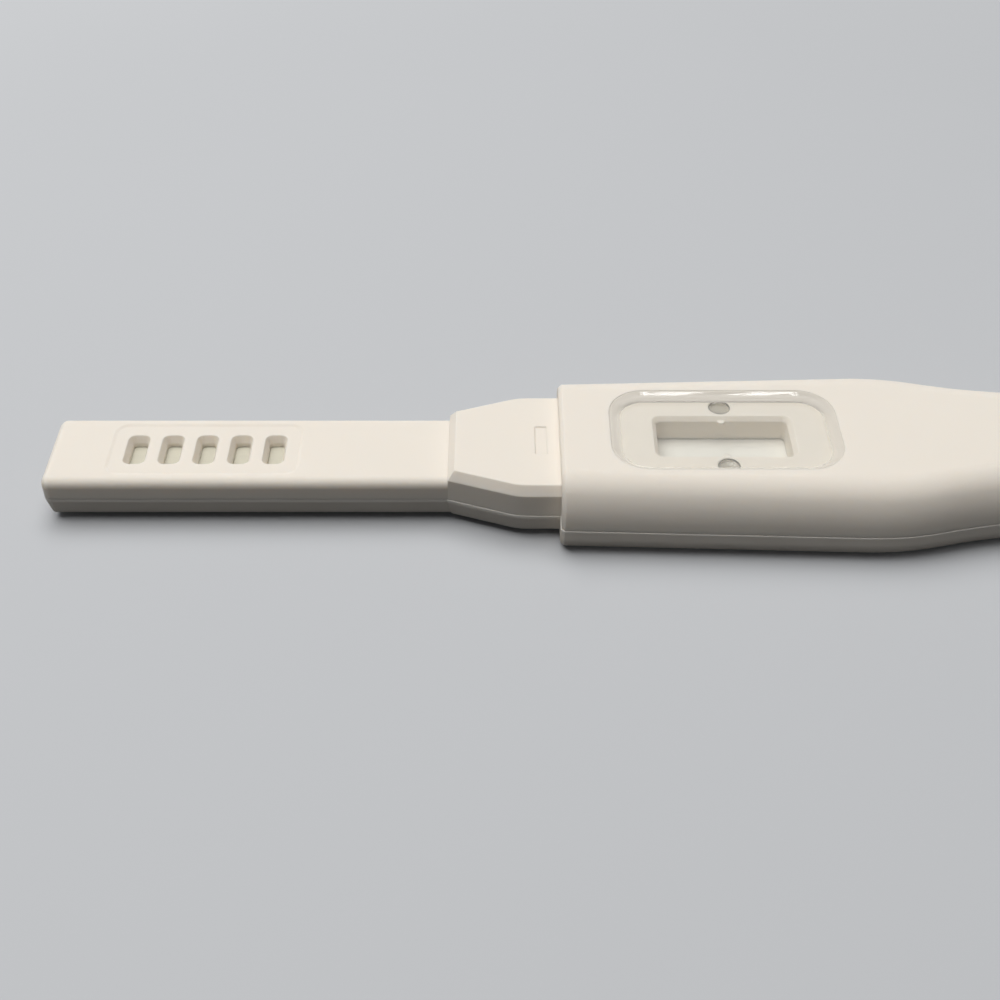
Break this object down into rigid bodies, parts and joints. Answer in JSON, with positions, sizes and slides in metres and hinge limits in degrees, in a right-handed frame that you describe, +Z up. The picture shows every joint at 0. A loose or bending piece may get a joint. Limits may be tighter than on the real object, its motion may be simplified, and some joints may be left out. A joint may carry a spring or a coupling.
{
  "type": "lateral flow cassette",
  "caption": "Slim white midstream lateral flow test stick: slotted sampling tip, bevelled neck, crowned body with a sunk clear window over a blank strip, and a rounded handle.",
  "frame": {"origin": "middle of the stick's length and width, on the surface it lies on", "axes": "+X along the stick from the sampling tip to the handle, +Y across it to the side away from the camera, +Z up through the window"},
  "size_m": [0.1321, 0.0222, 0.0081],
  "materials": {
    "upper_plastic": "satin moulded white",
    "lower_plastic": "satin moulded white",
    "clear_lens": "clear, glossy",
    "wick_fibre": "bonded fibre",
    "conjugate_fibre": "glass fibre",
    "membrane_sheet": "matte porous sheet",
    "absorbent_paper": "matte cellulose",
    "card_plastic": "smooth card"
  },
  "bodies": {
    "root": {"upper_shell": "upper_plastic", "lower_shell": "lower_plastic", "window_lens": "clear_lens", "sample_wick": "wick_fibre", "conjugate_pad": "conjugate_fibre", "membrane": "membrane_sheet", "absorbent_pad": "absorbent_paper", "backing_card": "card_plastic"}
  },
  "joints": []
}
